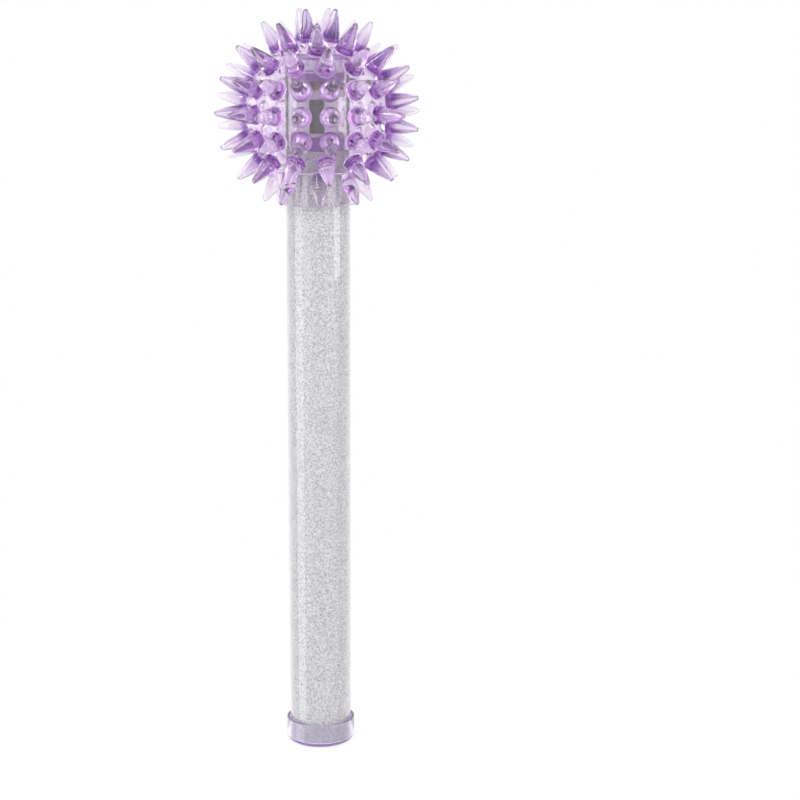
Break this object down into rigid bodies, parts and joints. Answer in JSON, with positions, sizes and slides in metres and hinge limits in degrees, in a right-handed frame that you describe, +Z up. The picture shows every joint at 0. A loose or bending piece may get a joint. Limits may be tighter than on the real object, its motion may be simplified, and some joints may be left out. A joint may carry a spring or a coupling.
{
  "type": "light-up sensory wand",
  "caption": "Hand-held sensory toy: a soft translucent spiky ball on a clear tube lined with glitter film, with an end cap and a knock-activated light module inside the ball.",
  "frame": {"origin": "middle of the end cap's flat base, on the surface that the wand stands on", "axes": "+Z up along the tube towards the ball, -Y the front as pictured, +X to the right of it"},
  "size_m": [0.0704, 0.0708, 0.264],
  "materials": {
    "pale_cap": "pale lavender translucent, glossy",
    "clear_plastic": "clear, polished",
    "glitter": "silver glitter film",
    "soft_purple": "soft translucent purple, glossy",
    "purple_plastic": "translucent purple",
    "board": "brown resin-bonded paper board",
    "black_resin": "black resin drop",
    "red_lens": "tinted clear resin",
    "green_lens": "tinted clear resin",
    "blue_lens": "tinted clear resin",
    "steel": "bright wire and turned steel",
    "pale_plastic": "pale translucent moulded",
    "contact_brass": "stamped",
    "cell_sleeve": "dark grey shrunk-on sleeve",
    "wire_sleeve": "insulated wire"
  },
  "bodies": {
    "cap": {"end_cap": "pale_cap"},
    "wand": {"clear_tube": "clear_plastic", "glitter_film": "glitter", "spiky_ball": "soft_purple", "top_cap": "pale_cap", "light_plate": "purple_plastic", "circuit_board": "board", "controller_chip": "black_resin", "red_led": "red_lens", "green_led": "green_lens", "blue_led": "blue_lens", "shock_pin": "steel", "board_screw_1": "steel", "board_screw_2": "steel", "board_screw_3": "steel", "battery_holder": "pale_plastic", "positive_contact": "contact_brass", "button_cell_1": "cell_sleeve", "button_cell_2": "cell_sleeve", "button_cell_3": "cell_sleeve", "battery_spring": "steel", "battery_wire": "wire_sleeve", "module_base": "purple_plastic"},
    "shock_coil": {"shock_spring": "steel"}
  },
  "joints": [
    {"name": "cap_pull", "type": "slide", "parent": "cap", "child": "wand", "axis": [0, 0, 1], "range_m": [0, 0.016]},
    {"name": "spring_sway", "type": "hinge", "parent": "wand", "child": "shock_coil", "pos_m": [0, 0, 0.2382], "axis": [0, 1, 0], "range_deg": [-8, 8], "stiffness_Nm_per_rad": 0.00002}
  ]
}
